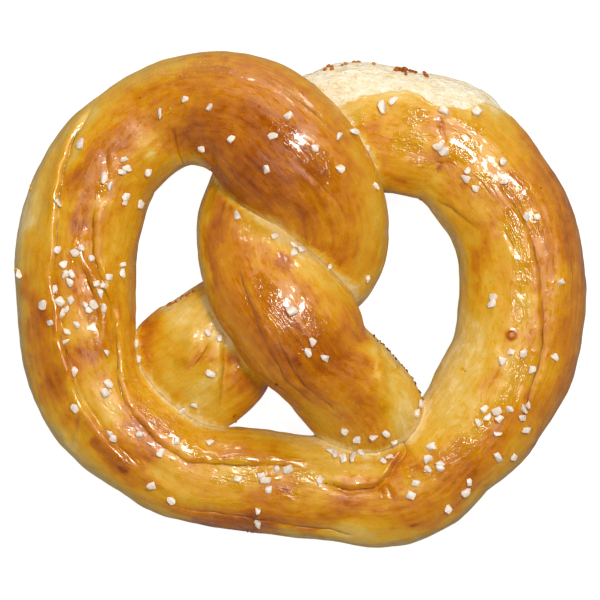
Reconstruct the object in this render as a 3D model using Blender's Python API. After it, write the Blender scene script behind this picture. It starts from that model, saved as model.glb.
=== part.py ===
"""A soft pretzel, baked from one rope of dough.

The rope starts at its left end, passes under and over itself in the twist, runs round the left
loop, the bow at the bottom and the right loop, and comes back through the twist to its right end.
It is modelled as one swept tube whose section changes along the way, joined to itself wherever
it crosses, and cut flat underneath where it lay on the baking tray.
"""

import math
from collections import namedtuple

import bmesh
import bpy
from mathutils import Vector

# Driving dimensions, in metres.
WIDTH = 0.150
UNIT = WIDTH / 100
RING_SPACING = 0.0044
TRAY_DEPTH = 0.020

# The rope's section: more facets over the crust than underneath, and a little squarer than
# an ellipse.
CRUST_FACETS = 26
BASE_FACETS = 6
SQUARENESS = 0.93

# How far from each tip the rope starts to round off.
TIP_LENGTH = 0.010

# A station is a point on the rope's centre line and the section there. Everything in it is in
# hundredths of the pretzel's width: x to the right, y to the back, z up from the tray, half the
# rope's width and height, and how far its top leans to the left of the way the rope runs.
Station = namedtuple("Station", "x y z half_width half_height lean")

LEFT_END = [
    Station(-27.0, -18.1, 4.6, 9.9, 4.6, 0.0),
    Station(-22.8, -15.3, 5.4, 11.4, 6.2, 0.0),
    Station(-16.7, -11.3, 6.2, 12.0, 7.4, 0.0),
    Station(-11.9, -6.5, 6.0, 10.5, 7.4, 0.0),
]
LEFT_STRAND = [
    Station(-6.8, -3.5, 5.8, 9.3, 6.8, 0.0),
    Station(-1.0, 0.9, 5.8, 9.0, 6.4, 0.0),
    Station(4.1, 5.1, 8.2, 9.4, 7.2, 0.0),
    Station(6.6, 10.9, 11.2, 9.0, 7.8, 0.0),
    Station(4.2, 17.8, 14.4, 10.0, 8.0, 0.0),
    Station(-2.1, 24.7, 16.0, 11.9, 8.4, 0.0),
    Station(-9.2, 30.8, 13.2, 11.1, 8.6, 0.0),
]
LEFT_LOOP = [
    Station(-17.3, 32.7, 9.4, 10.0, 8.4, 0.0),
    Station(-24.6, 31.0, 7.4, 9.5, 8.2, 0.0),
    Station(-31.5, 25.9, 7.0, 9.6, 8.1, 0.0),
    Station(-34.8, 21.6, 7.0, 10.0, 8.1, 0.0),
    Station(-37.8, 14.5, 7.0, 10.5, 8.2, 0.0),
    Station(-39.3, 6.7, 7.0, 10.6, 8.3, 0.0),
    Station(-39.3, -1.1, 7.0, 10.4, 8.3, 0.0),
    Station(-38.5, -9.1, 7.0, 10.3, 8.2, 0.0),
    Station(-36.2, -16.6, 7.0, 9.9, 8.1, 0.0),
    Station(-32.0, -22.4, 7.0, 9.6, 8.0, 0.0),
]
BOW = [
    Station(-26.7, -26.5, 7.0, 9.5, 7.9, 0.0),
    Station(-20.9, -30.1, 7.0, 9.1, 7.8, 0.0),
    Station(-15.2, -31.7, 6.9, 8.8, 7.7, 0.0),
    Station(-8.0, -32.3, 6.9, 9.1, 7.6, 0.0),
    Station(0.6, -33.4, 6.9, 8.9, 7.6, 0.0),
    Station(7.6, -33.8, 6.9, 9.3, 7.7, 0.0),
    Station(15.5, -34.2, 7.0, 10.0, 8.0, 0.0),
    Station(22.2, -31.7, 7.1, 9.6, 8.3, 0.0),
]
RIGHT_LOOP = [
    Station(26.5, -27.2, 7.2, 9.4, 8.5, 0.0),
    Station(31.3, -22.1, 7.2, 10.5, 8.6, 0.0),
    Station(34.2, -17.5, 7.2, 10.9, 8.6, 0.0),
    Station(37.6, -10.6, 7.2, 11.0, 8.6, 0.0),
    Station(39.2, -1.4, 7.2, 11.1, 8.6, 0.0),
    Station(38.9, 7.4, 7.2, 10.9, 8.6, 0.0),
    Station(36.6, 14.5, 7.2, 10.8, 8.5, 0.0),
    Station(32.9, 20.2, 7.2, 10.9, 8.4, 0.3),
    Station(29.5, 24.1, 7.1, 10.9, 8.3, 0.8),
    Station(25.5, 27.0, 7.0, 10.9, 8.2, 1.2),
    Station(17.3, 28.9, 6.8, 10.8, 7.8, 1.4),
]
RIGHT_STRAND = [
    Station(10.1, 29.7, 6.2, 11.3, 7.0, 1.0),
    Station(3.1, 27.4, 5.8, 10.9, 6.4, 0.0),
    Station(-3.2, 22.5, 6.0, 9.5, 6.4, 0.0),
    Station(-7.8, 16.6, 7.8, 8.7, 7.0, 0.0),
    Station(-9.1, 9.9, 10.8, 8.7, 7.6, 0.0),
    Station(-6.5, 2.8, 14.2, 9.8, 8.2, 0.0),
    Station(-2.8, -2.2, 15.6, 10.6, 8.6, 0.0),
]
RIGHT_END = [
    Station(0.4, -6.4, 14.8, 10.8, 9.0, 0.0),
    Station(3.5, -10.9, 12.6, 9.5, 9.4, 0.6),
    Station(7.7, -15.3, 10.2, 9.5, 9.4, 1.8),
    Station(11.6, -19.9, 8.6, 9.3, 8.8, 2.4),
    Station(13.9, -23.3, 7.8, 8.8, 8.2, 2.2),
    Station(16.0, -27.5, 6.8, 7.5, 7.4, 1.2),
]
ROPE = LEFT_END + LEFT_STRAND + LEFT_LOOP + BOW + RIGHT_LOOP + RIGHT_STRAND + RIGHT_END

# A fold is a groove left where the dough was rolled over and pressed together. Its places are
# pairs: the distance along the rope from the left tip, in hundredths of the pretzel's width, and
# the place across the rope, from -1 at its right edge to 1 at its left. Depth and reach are in
# hundredths of the width too; reach is from the bottom of the groove to its brim.
Fold = namedtuple("Fold", "places depth reach")

LEFT_END_CLEFT = Fold([(7.0, -0.8), (10.0, -0.6), (15.0, -0.2), (20.0, 0.3)], 0.9, 2.2)
LEFT_OUTER_FOLD = Fold([(94.0, -0.75), (107.0, -0.48), (123.0, -0.31), (155.0, -0.18)], 0.6, 1.9)
LEFT_INNER_FOLD = Fold([(128.0, 0.36), (140.0, 0.57), (152.0, 0.44), (163.0, 0.18)], 0.6, 1.9)
BOW_FOLD = Fold([(160.0, 0.22), (172.0, 0.3), (188.0, 0.5)], 0.5, 1.9)
BOW_CRESCENT = Fold([(191.0, 0.05), (198.0, 0.13), (204.0, 0.45), (211.0, 0.8)], 1.1, 2.2)
RIGHT_LOOP_FOLD = Fold([(222.0, -0.5), (235.0, -0.38), (253.0, -0.23), (268.0, 0.2)], 0.6, 1.9)
FOLDS = [
    LEFT_END_CLEFT,
    LEFT_OUTER_FOLD,
    LEFT_INNER_FOLD,
    BOW_FOLD,
    BOW_CRESCENT,
    RIGHT_LOOP_FOLD,
]
FOLD_FADE = 5.0   # hundredths of the width over which a fold deepens from each of its ends

CRUST = {"colour": (0.62, 0.30, 0.06, 1.0), "roughness": 0.38}


def clear_scene():
    """Remove whatever the scene holds, so that only the pretzel is left in it."""
    for thing in list(bpy.data.objects):
        bpy.data.objects.remove(thing)


def crust_material():
    """The glazed, golden-brown crust."""
    material = bpy.data.materials.new("crust")
    material.use_nodes = True
    shader = material.node_tree.nodes["Principled BSDF"]
    shader.inputs["Base Color"].default_value = CRUST["colour"]
    shader.inputs["Roughness"].default_value = CRUST["roughness"]
    return material


def blend(before, start, end, after, share):
    """A station between start and end, on the Catmull-Rom curve through all four."""
    values = []
    for a, b, c, d in zip(before, start, end, after):
        slope_in = (c - a) / 2
        slope_out = (d - b) / 2
        change = c - b
        values.append(
            b
            + slope_in * share
            + (3 * change - 2 * slope_in - slope_out) * share**2
            + (slope_in + slope_out - 2 * change) * share**3
        )
    return Station(*values)


def fine_stations(stations, steps=24):
    """The rope's stations with many more between them, on one smooth curve."""
    padded = [stations[0]] + stations + [stations[-1]]
    fine = []
    for i in range(1, len(padded) - 2):
        for step in range(steps):
            fine.append(blend(*padded[i - 1 : i + 3], step / steps))
    return fine + [stations[-1]]


def centre(station):
    """The station's point on the centre line, in metres."""
    return Vector((station.x, station.y, station.z)) * UNIT


def even_stations(stations, spacing):
    """Stations at an even spacing along the rope, with each one's distance from the left tip."""
    fine = fine_stations(stations)
    lengths = [0.0]
    for start, end in zip(fine, fine[1:]):
        lengths.append(lengths[-1] + (centre(end) - centre(start)).length)
    count = round(lengths[-1] / spacing)
    even = []
    place = 0
    for i in range(count + 1):
        wanted = lengths[-1] * i / count
        while place < len(fine) - 2 and lengths[place + 1] < wanted:
            place += 1
        gap = lengths[place + 1] - lengths[place]
        share = (wanted - lengths[place]) / gap
        values = [a + (b - a) * share for a, b in zip(fine[place], fine[place + 1])]
        even.append((Station(*values), wanted))
    return even, lengths[-1]


def facet_angles():
    """Angles round the section, anticlockwise from the rope's left edge as seen along it."""
    crust = [math.pi * i / CRUST_FACETS for i in range(CRUST_FACETS)]
    base = [math.pi * (1 + i / BASE_FACETS) for i in range(BASE_FACETS)]
    return crust + base


def squared(value):
    """A sine or cosine pushed out a little, which makes the section squarer than an ellipse."""
    return math.copysign(abs(value) ** SQUARENESS, value)


def fold_middle(fold, along):
    """Where the bottom of the fold lies across the rope, at this distance along it."""
    for (start, first), (end, last) in zip(fold.places, fold.places[1:]):
        if along <= end:
            share = (along - start) / (end - start)
            return first + (last - first) * share * share * (3 - 2 * share)


def fold_depth(fold, station, along, across):
    """How deep the fold is at a place on the crust, in hundredths of the width."""
    start, end = fold.places[0][0], fold.places[-1][0]
    if not start < along < end:
        return 0.0
    gap = abs(across - fold_middle(fold, along)) * station.half_width / fold.reach
    if gap > 1:
        return 0.0
    fade = min(along - start, end - along, FOLD_FADE) / FOLD_FADE
    return fold.depth * fade * (1 + math.cos(math.pi * gap)) / 2


def section_point(station, along, angle, shrink):
    """How far a point of the section lies to the left of the centre line, and above it."""
    across, rise = squared(math.cos(angle)), squared(math.sin(angle))
    if rise > 0:
        dent = sum(fold_depth(fold, station, along, across) for fold in FOLDS)
        shrink -= dent / station.half_height
    height = rise * shrink
    left = across * shrink * station.half_width
    return (left + station.lean * height) * UNIT, height * station.half_height * UNIT


def tip_shrink(distance, length):
    """The section's size near a tip, from 0 at the tip itself to 1 once it is fully round."""
    reach = min(distance, length - distance) / TIP_LENGTH
    return math.sqrt(1 - (1 - reach) ** 2) if reach < 1 else 1.0


def rope_ring(mesh, station, distance, direction, shrink):
    """One ring of the rope's vertices, square to the way it runs."""
    left = Vector((0, 0, 1)).cross(direction).normalized()
    up = direction.cross(left)
    ring = []
    for angle in facet_angles():
        across, height = section_point(station, distance / UNIT, angle, shrink)
        ring.append(mesh.verts.new(centre(station) + left * across + up * height))
    return ring


def rope_mesh():
    """The whole rope as one closed tube that still passes through itself at its crossings."""
    stations, length = even_stations(ROPE, RING_SPACING)
    mesh = bmesh.new()
    rings = []
    for i in range(1, len(stations) - 1):
        station, distance = stations[i]
        direction = (centre(stations[i + 1][0]) - centre(stations[i - 1][0])).normalized()
        shrink = tip_shrink(distance, length)
        rings.append(rope_ring(mesh, station, distance, direction, shrink))
    for here, ahead in zip(rings, rings[1:]):
        for i in range(len(here)):
            j = (i + 1) % len(here)
            mesh.faces.new((here[i], here[j], ahead[j], ahead[i]))
    for ring, (station, _) in ((rings[0], stations[0]), (rings[-1], stations[-1])):
        tip = mesh.verts.new(centre(station))
        for i in range(len(ring)):
            mesh.faces.new((ring[i], ring[(i + 1) % len(ring)], tip))
    bmesh.ops.recalc_face_normals(mesh, faces=mesh.faces)
    return mesh


def centred(mesh):
    """Move the rope sideways until its outline's middle is over the origin."""
    middle = Vector((0, 0, 0))
    for axis in (0, 1):
        spread = [vertex.co[axis] for vertex in mesh.verts]
        middle[axis] = (min(spread) + max(spread)) / 2
    bmesh.ops.translate(mesh, verts=mesh.verts, vec=-middle)


def tray_cutter():
    """A block whose top face is the baking tray. It is taken away from the rope's underside."""
    mesh = bmesh.new()
    bmesh.ops.create_cube(mesh, size=1.0)
    size = Vector((WIDTH * 1.4, WIDTH * 1.4, TRAY_DEPTH))
    bmesh.ops.scale(mesh, verts=mesh.verts, vec=size)
    bmesh.ops.translate(mesh, verts=mesh.verts, vec=(0, 0, -TRAY_DEPTH / 2))
    cutter = make_object("tray_cutter", mesh)
    cutter.hide_render = True
    cutter.display_type = "WIRE"
    return cutter


def make_object(name, mesh):
    """An object that holds this mesh."""
    data = bpy.data.meshes.new(name)
    mesh.to_mesh(data)
    mesh.free()
    made = bpy.data.objects.new(name, data)
    bpy.context.scene.collection.objects.link(made)
    return made


def pretzel():
    """The rope joined to itself at its crossings and cut flat where it lay on the tray."""
    mesh = rope_mesh()
    centred(mesh)
    made = make_object("pretzel", mesh)
    made.data.materials.append(crust_material())
    made.data.shade_smooth()
    cut = made.modifiers.new("flat_base", "BOOLEAN")
    cut.operation = "DIFFERENCE"
    cut.solver = "EXACT"
    cut.use_self = True
    cut.object = tray_cutter()
    return made


clear_scene()
pretzel()
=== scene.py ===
# %% [markdown]
# # A soft pretzel with coarse salt
#
# The real thing is one rope of dough. It is rolled, twisted, folded into a knot, brushed with egg,
# salted and baked. The construction model already gives its size and its knot, so this lesson
# loads that model as a fixed frame and builds the finished surface in the same space: the folds
# of the dough, the uneven browning, the wrinkled shine, the salt and the scorched crumbs.

# %% Load the frame
import math
from collections import namedtuple

import bmesh
import bpy
import numpy as np
from mathutils import Matrix, Vector, kdtree, noise
from mathutils.bvhtree import BVHTree


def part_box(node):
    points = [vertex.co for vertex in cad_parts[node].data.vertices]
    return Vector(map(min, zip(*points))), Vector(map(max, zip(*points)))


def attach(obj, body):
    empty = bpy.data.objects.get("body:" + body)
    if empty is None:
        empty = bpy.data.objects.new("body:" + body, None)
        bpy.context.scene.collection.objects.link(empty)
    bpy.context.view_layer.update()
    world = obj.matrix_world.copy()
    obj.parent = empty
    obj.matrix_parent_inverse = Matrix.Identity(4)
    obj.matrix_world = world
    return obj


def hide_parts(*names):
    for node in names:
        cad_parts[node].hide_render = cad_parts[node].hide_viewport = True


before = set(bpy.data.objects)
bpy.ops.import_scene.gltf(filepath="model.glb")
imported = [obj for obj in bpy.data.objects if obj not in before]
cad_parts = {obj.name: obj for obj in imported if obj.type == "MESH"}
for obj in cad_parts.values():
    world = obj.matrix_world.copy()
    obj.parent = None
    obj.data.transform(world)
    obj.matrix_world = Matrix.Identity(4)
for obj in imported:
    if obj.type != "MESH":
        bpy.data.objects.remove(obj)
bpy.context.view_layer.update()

LOW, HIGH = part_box("pretzel")
print("the frame is", [round(1000 * side, 1) for side in HIGH - LOW], "mm")

# %% [markdown]
# ## The rope's route
#
# A baked rope could be sculpted by hand, but a list of stations along its centre line is easier to
# read and to correct. Each station says where the middle of the rope is, how wide and how high the
# rope is there, and how far its top leans to the left of the way it runs. All of it is in
# hundredths of the pretzel's width. They are the same stations as the construction model's, so the
# finished dough lies exactly where the frame says.

# %% Stations along the rope
STRANDS = {
    "left end": [
        (-27.0, -18.1, 4.6, 9.9, 4.6, 0.0),
        (-22.8, -15.3, 5.4, 11.4, 6.2, 0.0),
        (-16.7, -11.3, 6.2, 12.0, 7.4, 0.0),
        (-11.9, -6.5, 6.0, 10.5, 7.4, 0.0),
    ],
    "left strand": [
        (-6.8, -3.5, 5.8, 9.3, 6.8, 0.0),
        (-1.0, 0.9, 5.8, 9.0, 6.4, 0.0),
        (4.1, 5.1, 8.2, 9.4, 7.2, 0.0),
        (6.6, 10.9, 11.2, 9.0, 7.8, 0.0),
        (4.2, 17.8, 14.4, 10.0, 8.0, 0.0),
        (-2.1, 24.7, 16.0, 11.9, 8.4, 0.0),
        (-9.2, 30.8, 13.2, 11.1, 8.6, 0.0),
    ],
    "left loop": [
        (-17.3, 32.7, 9.4, 10.0, 8.4, 0.0),
        (-24.6, 31.0, 7.4, 9.5, 8.2, 0.0),
        (-31.5, 25.9, 7.0, 9.6, 8.1, 0.0),
        (-34.8, 21.6, 7.0, 10.0, 8.1, 0.0),
        (-37.8, 14.5, 7.0, 10.5, 8.2, 0.0),
        (-39.3, 6.7, 7.0, 10.6, 8.3, 0.0),
        (-39.3, -1.1, 7.0, 10.4, 8.3, 0.0),
        (-38.5, -9.1, 7.0, 10.3, 8.2, 0.0),
        (-36.2, -16.6, 7.0, 9.9, 8.1, 0.0),
        (-32.0, -22.4, 7.0, 9.6, 8.0, 0.0),
    ],
    "bow": [
        (-26.7, -26.5, 7.0, 9.5, 7.9, 0.0),
        (-20.9, -30.1, 7.0, 9.1, 7.8, 0.0),
        (-15.2, -31.7, 6.9, 8.8, 7.7, 0.0),
        (-8.0, -32.3, 6.9, 9.1, 7.6, 0.0),
        (0.6, -33.4, 6.9, 8.9, 7.6, 0.0),
        (7.6, -33.8, 6.9, 9.3, 7.7, 0.0),
        (15.5, -34.2, 7.0, 10.0, 8.0, 0.0),
        (22.2, -31.7, 7.1, 9.6, 8.3, 0.0),
    ],
    "right loop": [
        (26.5, -27.2, 7.2, 9.4, 8.5, 0.0),
        (31.3, -22.1, 7.2, 10.5, 8.6, 0.0),
        (34.2, -17.5, 7.2, 10.9, 8.6, 0.0),
        (37.6, -10.6, 7.2, 11.0, 8.6, 0.0),
        (39.2, -1.4, 7.2, 11.1, 8.6, 0.0),
        (38.9, 7.4, 7.2, 10.9, 8.6, 0.0),
        (36.6, 14.5, 7.2, 10.8, 8.5, 0.0),
        (32.9, 20.2, 7.2, 10.9, 8.4, 0.3),
        (29.5, 24.1, 7.1, 10.9, 8.3, 0.8),
        (25.5, 27.0, 7.0, 10.9, 8.2, 1.2),
        (17.3, 28.9, 6.8, 10.8, 7.8, 1.4),
    ],
    "right strand": [
        (10.1, 29.7, 6.2, 11.3, 7.0, 1.0),
        (3.1, 27.4, 5.8, 10.9, 6.4, 0.0),
        (-3.2, 22.5, 6.0, 9.5, 6.4, 0.0),
        (-7.8, 16.6, 7.8, 8.7, 7.0, 0.0),
        (-9.1, 9.9, 10.8, 8.7, 7.6, 0.0),
        (-6.5, 2.8, 14.2, 9.8, 8.2, 0.0),
        (-2.8, -2.2, 15.6, 10.6, 8.6, 0.0),
    ],
    "right end": [
        (0.4, -6.4, 14.8, 10.8, 9.0, 0.0),
        (3.5, -10.9, 12.6, 9.5, 9.4, 0.6),
        (7.7, -15.3, 10.2, 9.5, 9.4, 1.8),
        (11.6, -19.9, 8.6, 9.3, 8.8, 2.4),
        (13.9, -23.3, 7.8, 8.8, 8.2, 2.2),
        (16.0, -27.5, 6.8, 7.5, 7.4, 1.2),
    ],
}
X, Y, Z, HALF_WIDTH, HALF_HEIGHT, LEAN = range(6)


def smooth_curve(points, steps=24):
    """Many stations on the Catmull-Rom curve through a few."""
    padded = np.vstack([points[:1], points, points[-1:]])
    share = np.linspace(0, 1, steps, endpoint=False)[:, None]
    spans = []
    for before, start, end, after in zip(padded, padded[1:], padded[2:], padded[3:]):
        slope_in = (end - before) / 2
        slope_out = (after - start) / 2
        change = end - start
        bend = 3 * change - 2 * slope_in - slope_out
        turn = slope_in + slope_out - 2 * change
        spans.append(start + slope_in * share + bend * share**2 + turn * share**3)
    return np.vstack(spans + [points[-1:]])


def lengths_along(points):
    """The distance of each point from the first one, along the line through them."""
    steps = np.linalg.norm(np.diff(points, axis=0), axis=1)
    return np.concatenate([[0], np.cumsum(steps)])


fine = smooth_curve(np.array([station for strand in STRANDS.values() for station in strand]))
fine_along = lengths_along(fine[:, :3])
ROPE_LENGTH = fine_along[-1]
print("the rope is", round(ROPE_LENGTH, 1), "hundredths long")

# %% [markdown]
# ## Rings of points round the rope
#
# A curve object with a bevel could sweep one section along the route, but this rope's section
# changes all the way and the relief comes next. So the rope is a grid: rings across it, columns
# along it. A grid keeps two useful facts for each point: how far along the rope it is and how far
# round it. The columns start under the rope, so the join between the last and the first is never
# seen, and they stand closest together over the crust.

# %% Rings and columns
RING_GAP = 0.37      # hundredths of the width between rings
TIP_LENGTH = 10 / 1.5                        # hundredths over which a tip rounds off
SQUARENESS = 0.93
BASE_STEPS = 4                               # from the middle of the base to 30 degrees from it
FLANK_STEPS = 10                             # from there to the widest line
CRUST_STEPS = 88       # over the top, from widest line to widest line

tip_turn = np.linspace(0, math.pi / 2, 14)[1:]
tip_rings = TIP_LENGTH * (1 - np.cos(tip_turn))
body_length = ROPE_LENGTH - 2 * tip_rings[-1]
body_rings = tip_rings[-1] + np.linspace(0, body_length, round(body_length / RING_GAP))[1:-1]
along = np.concatenate([tip_rings, body_rings, (ROPE_LENGTH - tip_rings)[::-1]])
station = np.stack([np.interp(along, fine_along, fine[:, i]) for i in range(6)], axis=1)

base_turn = np.linspace(-90, -60, BASE_STEPS, endpoint=False)
flank_turn = np.linspace(-60, 0, FLANK_STEPS, endpoint=False)
crust_turn = np.linspace(0, 180, CRUST_STEPS, endpoint=False)
up_again = 180 - np.concatenate([base_turn, flank_turn, [0]])[::-1]
turn = np.radians(np.concatenate([base_turn, flank_turn, crust_turn, up_again]))


def squared(value):
    """A sine or cosine pushed out a little, which makes the section squarer than an ellipse."""
    return np.sign(value) * np.abs(value) ** SQUARENESS


def unit(vectors):
    """The same directions, each one long."""
    return vectors / np.linalg.norm(vectors, axis=-1, keepdims=True)


reach = np.minimum(np.minimum(along, ROPE_LENGTH - along) / TIP_LENGTH, 1)
tip_shrink = np.sqrt(1 - (1 - reach) ** 2)[:, None]
across = squared(np.cos(turn))
rise = squared(np.sin(turn)) * tip_shrink
leftward = across * tip_shrink * station[:, [HALF_WIDTH]] + rise * station[:, [LEAN]]
upward = rise * station[:, [HALF_HEIGHT]]

forward = unit(np.gradient(station[:, :3], along, axis=0))
left = unit(np.cross([0, 0, 1], forward))
up = np.cross(forward, left)
rope = (
    station[:, None, :3]
    + left[:, None] * leftward[..., None]
    + up[:, None] * upward[..., None]
)

plan_low, plan_high = rope.min(axis=(0, 1)), rope.max(axis=(0, 1))
UNIT = (HIGH.x - LOW.x) / (plan_high[X] - plan_low[X])
PLAN_MIDDLE = np.array([plan_low[X] + plan_high[X], plan_low[Y] + plan_high[Y], 0]) / 2
rope -= PLAN_MIDDLE
RINGS, COLUMNS = rope.shape[:2]
print(RINGS, "rings of", COLUMNS, "points; one hundredth is", round(1000 * UNIT, 3), "mm")

# %% How far round the crust each point is
steps_round = np.linalg.norm(np.diff(rope, axis=1), axis=2)
girth = np.concatenate([np.zeros((RINGS, 1)), np.cumsum(steps_round, axis=1)], axis=1)
crest_column = BASE_STEPS + FLANK_STEPS + CRUST_STEPS // 2
girth = girth[:, [crest_column]] - girth     # from the crest, positive to the left
crust_columns = slice(BASE_STEPS + FLANK_STEPS, BASE_STEPS + FLANK_STEPS + CRUST_STEPS + 1)


def girth_at(places):
    """How far round each ring a place across it lies, from -1 at its right edge to 1 at its left."""
    edge_to_edge = across[crust_columns][::-1]
    return np.array([
        np.interp(place, edge_to_edge, row[crust_columns][::-1])
        for place, row in zip(places, girth)
    ])


def grid_normals(points):
    """The way the surface faces at each point of the grid."""
    lengthwise = np.gradient(points, axis=0)
    open_ended = points[:, :-1]
    roundwise = np.roll(open_ended, -1, axis=1) - np.roll(open_ended, 1, axis=1)
    roundwise = np.concatenate([roundwise, roundwise[:, :1]], axis=1)
    return unit(np.cross(roundwise, lengthwise))


facing = grid_normals(rope)
print("the crest faces up by", round(float(facing[RINGS // 2, crest_column, Z]), 2))

# %% [markdown]
# ## Lumps and wrinkles
#
# Dough that has risen twice is never a clean tube. It swells in soft lumps, and rolling leaves
# shallow wrinkles that run along the rope. Sculpting or a displacement texture would do, but noise
# read at the points themselves is repeatable and stays in the mesh when it is exported. The
# wrinkles are read in the rope's own space, squeezed sideways, so that they follow every bend.

# %% Random relief
def relief(places, size, seed, octaves=3):
    """Smooth random values at these places, about -1 to 1, in lumps of this size."""
    shift = Vector((17.3, 5.1, 9.7)) * seed
    flat = (places / size).reshape(-1, 3).tolist()
    values = [noise.fractal(Vector(place) + shift, 1.0, 2.0, octaves) for place in flat]
    return np.array(values).reshape(places.shape[:-1])


def smoothstep(low, high, value):
    """0 below low, 1 above high and a soft slope between them."""
    share = np.clip((value - low) / (high - low), 0, 1)
    return share * share * (3 - 2 * share)


MILLIMETRE = 0.001 / UNIT                    # in hundredths of the width
along_grid = np.repeat(along[:, None], COLUMNS, axis=1)
rope_place = np.stack([along_grid, girth, np.zeros_like(girth)], axis=2)

swelling = 0.50 * relief(rope, 17.0, 1) + 0.28 * relief(rope, 7.5, 2)
wrinkles = relief(rope_place * [0.12, 1, 1], 2.1, 3, octaves=2)
dimples = relief(rope, 2.6, 4, octaves=2)
raised = MILLIMETRE * (swelling + 0.17 * wrinkles + 0.12 * dimples)
BLISTER = (239.3, 0.16, 0.95)                # along, across, radius in hundredths
blister_line = girth_at(np.full(RINGS, BLISTER[1]))[:, None]
blister_gap = np.hypot(along_grid - BLISTER[0], girth - blister_line) / BLISTER[2]
raised += 0.5 * MILLIMETRE * smoothstep(-1.1, -0.4, -blister_gap)
print("lumps reach", round(float(np.abs(raised).max() / MILLIMETRE), 2), "mm")

# %% [markdown]
# ## Folds
#
# Where the rope was rolled up and pressed together it keeps long folds: a thin groove dark with
# shade, a rounded shiny lip on one side of it and a shallow slope on the other. Each is written in
# the rope's own terms, as places along it and across it. The groove and the lip go into the mesh.
# The shade at the bottom of the groove is thinner than the mesh's squares, so each point also keeps
# its distance from the line, and the material paints it in as a thin dark line of painted shade. A
# distance blends cleanly between points, which a thin painted line would not. A few short creases
# run across the rope instead, darkened with painted shade as well.

# %% The folds
Fold = namedtuple("Fold", "places depth lip side")
LEFT, RIGHT = 1, -1
FOLD_LAYERS = [                              # depth and lip in millimetres
    [
        Fold([(9.6, -0.80), (11.3, -0.66), (13.0, -0.37), (15.0, -0.21), (16.6, -0.07),
              (19.0, 0.10)], 1.3, 0.7, LEFT),
        Fold([(50.0, -0.22), (53.0, -0.14), (56.5, -0.05), (62.5, 0.03)], 0.35, 0.35, LEFT),
        Fold([(98.0, -0.86), (102.0, -0.70), (105.0, -0.62), (108.0, -0.53), (112.0, -0.40),
              (116.0, -0.30), (120.0, -0.26), (125.0, -0.27), (130.0, -0.22), (135.0, -0.20),
              (140.0, -0.155), (145.0, -0.16), (150.0, -0.20), (155.0, -0.24), (160.0, -0.34)],
             0.70, 0.75, RIGHT),
        Fold([(165.0, -0.70), (173.0, -0.66), (180.0, -0.72), (188.0, -0.78), (198.0, -0.80)],
             0.30, 0.20, RIGHT),
        Fold([(224.9, -0.58), (230.0, -0.46), (235.0, -0.38), (240.0, -0.33), (245.0, -0.28),
              (250.0, -0.22), (255.0, -0.17), (260.0, -0.14), (265.0, -0.07), (268.0, -0.02)],
             0.40, 0.22, LEFT),
        Fold([(274.0, 0.18), (276.0, 0.27), (279.0, 0.31)], 0.25, 0.20, RIGHT),
        Fold([(331.0, -0.16), (335.0, -0.33), (338.0, -0.43), (341.0, -0.53), (346.0, -0.62),
              (353.0, -0.72)], 0.25, 0.35, LEFT),
    ],
    [
        Fold([(110.0, 0.17), (114.0, 0.26), (118.0, 0.33), (121.0, 0.38), (124.0, 0.47),
              (128.0, 0.60), (131.0, 0.68), (135.0, 0.69), (140.0, 0.66), (145.0, 0.58),
              (150.0, 0.45), (155.0, 0.33), (160.0, 0.22), (165.0, 0.21), (170.0, 0.28),
              (175.0, 0.32), (180.0, 0.34), (185.0, 0.40), (188.5, 0.34)], 0.40, 0.42, LEFT),
        Fold([(189.5, 0.20), (193.0, 0.04), (197.0, 0.00), (200.0, 0.12), (203.0, 0.34),
              (205.5, 0.50), (208.5, 0.68), (213.0, 0.85)], 1.50, 0.50, LEFT),
        Fold([(244.0, -0.74), (253.0, -0.74), (262.0, -0.80)], 0.20, 0.12, LEFT),
        Fold([(341.0, -0.30), (345.0, -0.42), (350.0, -0.50), (358.0, -0.62)], 0.20, 0.15, LEFT),
    ],
    [
        Fold([(10.5, 0.00), (13.0, 0.06), (15.8, 0.17)], 0.35, 0.30, RIGHT),
        Fold([(60.5, -0.62), (65.0, -0.68), (70.0, -0.62)], 0.25, 0.20, LEFT),
        Fold([(100.5, -0.10), (102.5, 0.02), (105.2, 0.22)], 0.30, 0.25, LEFT),
        Fold([(120.5, 0.10), (124.0, 0.27), (129.0, 0.38), (136.0, 0.40)], 0.35, 0.45, LEFT),
        Fold([(252.0, 0.06), (255.5, 0.15), (260.0, 0.26)], 0.30, 0.20, LEFT),
        Fold([(260.5, 0.60), (266.0, 0.72), (272.5, 0.84)], 0.40, 0.25, RIGHT),
    ],
]
CREASES = [                                  # across the rope: places, depth in millimetres
    ([(86.0, 0.30), (86.8, 0.55), (88.0, 0.80), (88.6, 0.98)], 0.55),
    ([(149.4, -0.90), (148.2, -0.60), (147.2, -0.34)], 0.60),
    ([(269.6, 0.22), (270.0, 0.38), (269.4, 0.50)], 0.40),
    ([(281.0, -0.52), (280.0, -0.32), (278.6, -0.10), (277.6, 0.05)], 0.20),
    ([(201.6, -0.10), (201.0, 0.06), (200.2, 0.20)], 0.30),
    ([(203.2, -0.16), (202.6, 0.04), (202.2, 0.20)], 0.30),
    ([(355.2, 0.62), (355.8, 0.78), (355.2, 0.92)], 0.35),
    ([(359.0, 0.55), (360.0, 0.75), (360.4, 0.95)], 0.35),
]
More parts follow.
